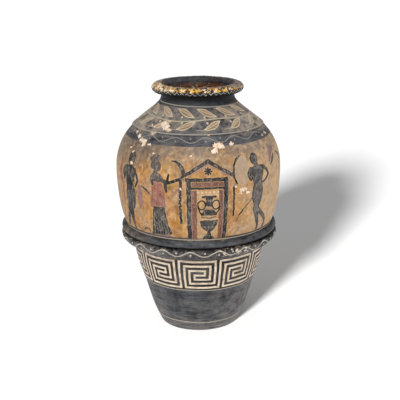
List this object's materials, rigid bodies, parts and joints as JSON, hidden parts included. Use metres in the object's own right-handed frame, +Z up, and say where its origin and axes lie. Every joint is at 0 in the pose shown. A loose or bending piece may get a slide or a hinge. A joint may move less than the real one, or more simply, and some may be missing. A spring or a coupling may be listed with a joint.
{
  "type": "greek krater",
  "caption": "Tall ovoid terracotta jar with a rolled lip, a double moulding below its painted picture band and a flat base; stands by its own weight.",
  "frame": {"origin": "centre of the flat underside, on the surface that the jar stands on", "axes": "+Z up along the axis of the jar, from the base to the mouth; -Y is the front, where the painted shrine is"},
  "size_m": [0.4124, 0.4124, 0.62],
  "materials": {
    "painted_terracotta": "worn matt paint on fired clay: charcoal black, ochre, brick red and cream, with flaked plaster and gilding at the lip"
  },
  "bodies": {
    "root": {"krater_jar": "painted_terracotta"}
  },
  "joints": []
}
